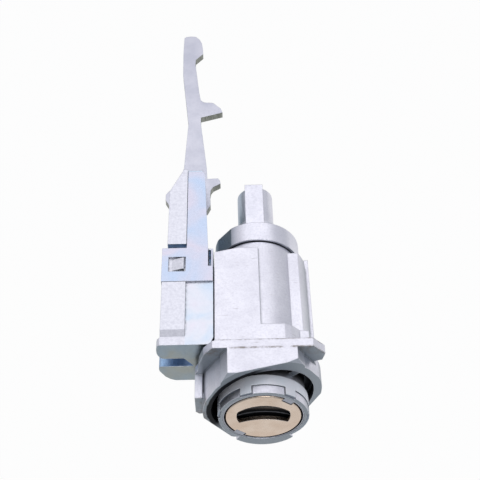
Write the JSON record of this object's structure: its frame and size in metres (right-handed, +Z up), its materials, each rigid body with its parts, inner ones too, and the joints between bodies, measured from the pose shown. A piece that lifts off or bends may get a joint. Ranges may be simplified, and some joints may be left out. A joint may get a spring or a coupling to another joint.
{
  "type": "ignition lock cylinder",
  "caption": "Key-operated ignition lock: hexagonal collar, push-fit nose ring, turning plug with tail shaft, and a side guide carrying a long steering-lock lever.",
  "frame": {"origin": "on the plug axis, in the rear face of the flange that seats on the steering-lock housing", "axes": "+Y along the plug axis from the key face to the tail shaft, +Z up through the flat block, +X to the right as seen from the key side"},
  "size_m": [0.0402, 0.1414, 0.0284],
  "materials": {
    "cast_zinc": "die-cast zinc, as cast, satin",
    "blue_zinc": "blue zinc plating",
    "warm_steel": "polished stainless steel, warm tint",
    "black_steel": "blackened",
    "steel": "ground",
    "spring_steel": "drawn wire",
    "plug_zinc": "die-cast zinc",
    "cam_zinc": "die-cast zinc, satin",
    "brass": "stamped",
    "plated_zinc": "zinc casting with pale blue plating",
    "plated_sheet": "sheet steel with pale blue and violet zinc plating",
    "lever_steel": "stamped steel, zinc plated"
  },
  "bodies": {
    "body": {"lock_body": "cast_zinc", "nose_ring": "blue_zinc", "guide_block": "plated_zinc", "guide_pin_front": "steel", "guide_pin_rear": "steel", "cover_clip": "plated_sheet", "lever_pivot": "steel", "lever_spring": "spring_steel"},
    "plug": {"plug": "plug_zinc", "face_plate": "warm_steel", "shutter_pin": "steel", "shutter_spring": "spring_steel", "retainer_wafer": "brass", "retainer_spring": "spring_steel", "tail_cam": "cam_zinc", "cam_pin": "steel", "wafer_spring_1": "spring_steel", "wafer_spring_2": "spring_steel", "wafer_spring_3": "spring_steel", "wafer_spring_4": "spring_steel", "wafer_spring_5": "spring_steel", "wafer_spring_6": "spring_steel", "wafer_spring_7": "spring_steel", "wafer_spring_8": "spring_steel"},
    "shutter": {"shutter": "black_steel"},
    "lever": {"lever": "lever_steel"},
    "wafer_1_body": {"wafer_1": "brass"},
    "wafer_2_body": {"wafer_2": "brass"},
    "wafer_3_body": {"wafer_3": "brass"},
    "wafer_4_body": {"wafer_4": "brass"},
    "wafer_5_body": {"wafer_5": "brass"},
    "wafer_6_body": {"wafer_6": "brass"},
    "wafer_7_body": {"wafer_7": "brass"},
    "wafer_8_body": {"wafer_8": "brass"}
  },
  "joints": [
    {"name": "plug_turn", "type": "hinge", "parent": "body", "child": "plug", "pos_m": [0, 0, 0], "axis": [0, 1, 0], "range_deg": [0, 110]},
    {"name": "shutter_swing", "type": "hinge", "parent": "plug", "child": "shutter", "pos_m": [0, -0.0102, 0.00585], "axis": [1, 0, 0], "range_deg": [0, 75], "stiffness_Nm_per_rad": 0.0004, "springref_deg": -20.05},
    {"name": "lever_swing", "type": "hinge", "parent": "body", "child": "lever", "pos_m": [-0.0186, 0.0548, 0.0037], "axis": [0, 0, -1], "range_deg": [0, 8], "stiffness_Nm_per_rad": 0.05, "springref_deg": -11.46},
    {"name": "wafer_1_slide", "type": "slide", "parent": "plug", "child": "wafer_1_body", "axis": [-1, 0, 0], "range_m": [0, 0.0009], "stiffness_N_per_m": 15, "springref_m": -0.001, "deforming": ["wafer_spring_1"]},
    {"name": "wafer_2_slide", "type": "slide", "parent": "plug", "child": "wafer_2_body", "axis": [-1, 0, 0], "range_m": [0, 0.0009], "stiffness_N_per_m": 15, "springref_m": -0.001, "deforming": ["wafer_spring_2"]},
    {"name": "wafer_3_slide", "type": "slide", "parent": "plug", "child": "wafer_3_body", "axis": [-1, 0, 0], "range_m": [0, 0.0009], "stiffness_N_per_m": 15, "springref_m": -0.001, "deforming": ["wafer_spring_3"]},
    {"name": "wafer_4_slide", "type": "slide", "parent": "plug", "child": "wafer_4_body", "axis": [-1, 0, 0], "range_m": [0, 0.0009], "stiffness_N_per_m": 15, "springref_m": -0.001, "deforming": ["wafer_spring_4"]},
    {"name": "wafer_5_slide", "type": "slide", "parent": "plug", "child": "wafer_5_body", "axis": [-1, 0, 0], "range_m": [0, 0.0009], "stiffness_N_per_m": 15, "springref_m": -0.001, "deforming": ["wafer_spring_5"]},
    {"name": "wafer_6_slide", "type": "slide", "parent": "plug", "child": "wafer_6_body", "axis": [-1, 0, 0], "range_m": [0, 0.0009], "stiffness_N_per_m": 15, "springref_m": -0.001, "deforming": ["wafer_spring_6"]},
    {"name": "wafer_7_slide", "type": "slide", "parent": "plug", "child": "wafer_7_body", "axis": [-1, 0, 0], "range_m": [0, 0.0009], "stiffness_N_per_m": 15, "springref_m": -0.001, "deforming": ["wafer_spring_7"]},
    {"name": "wafer_8_slide", "type": "slide", "parent": "plug", "child": "wafer_8_body", "axis": [-1, 0, 0], "range_m": [0, 0.0009], "stiffness_N_per_m": 15, "springref_m": -0.001, "deforming": ["wafer_spring_8"]}
  ]
}
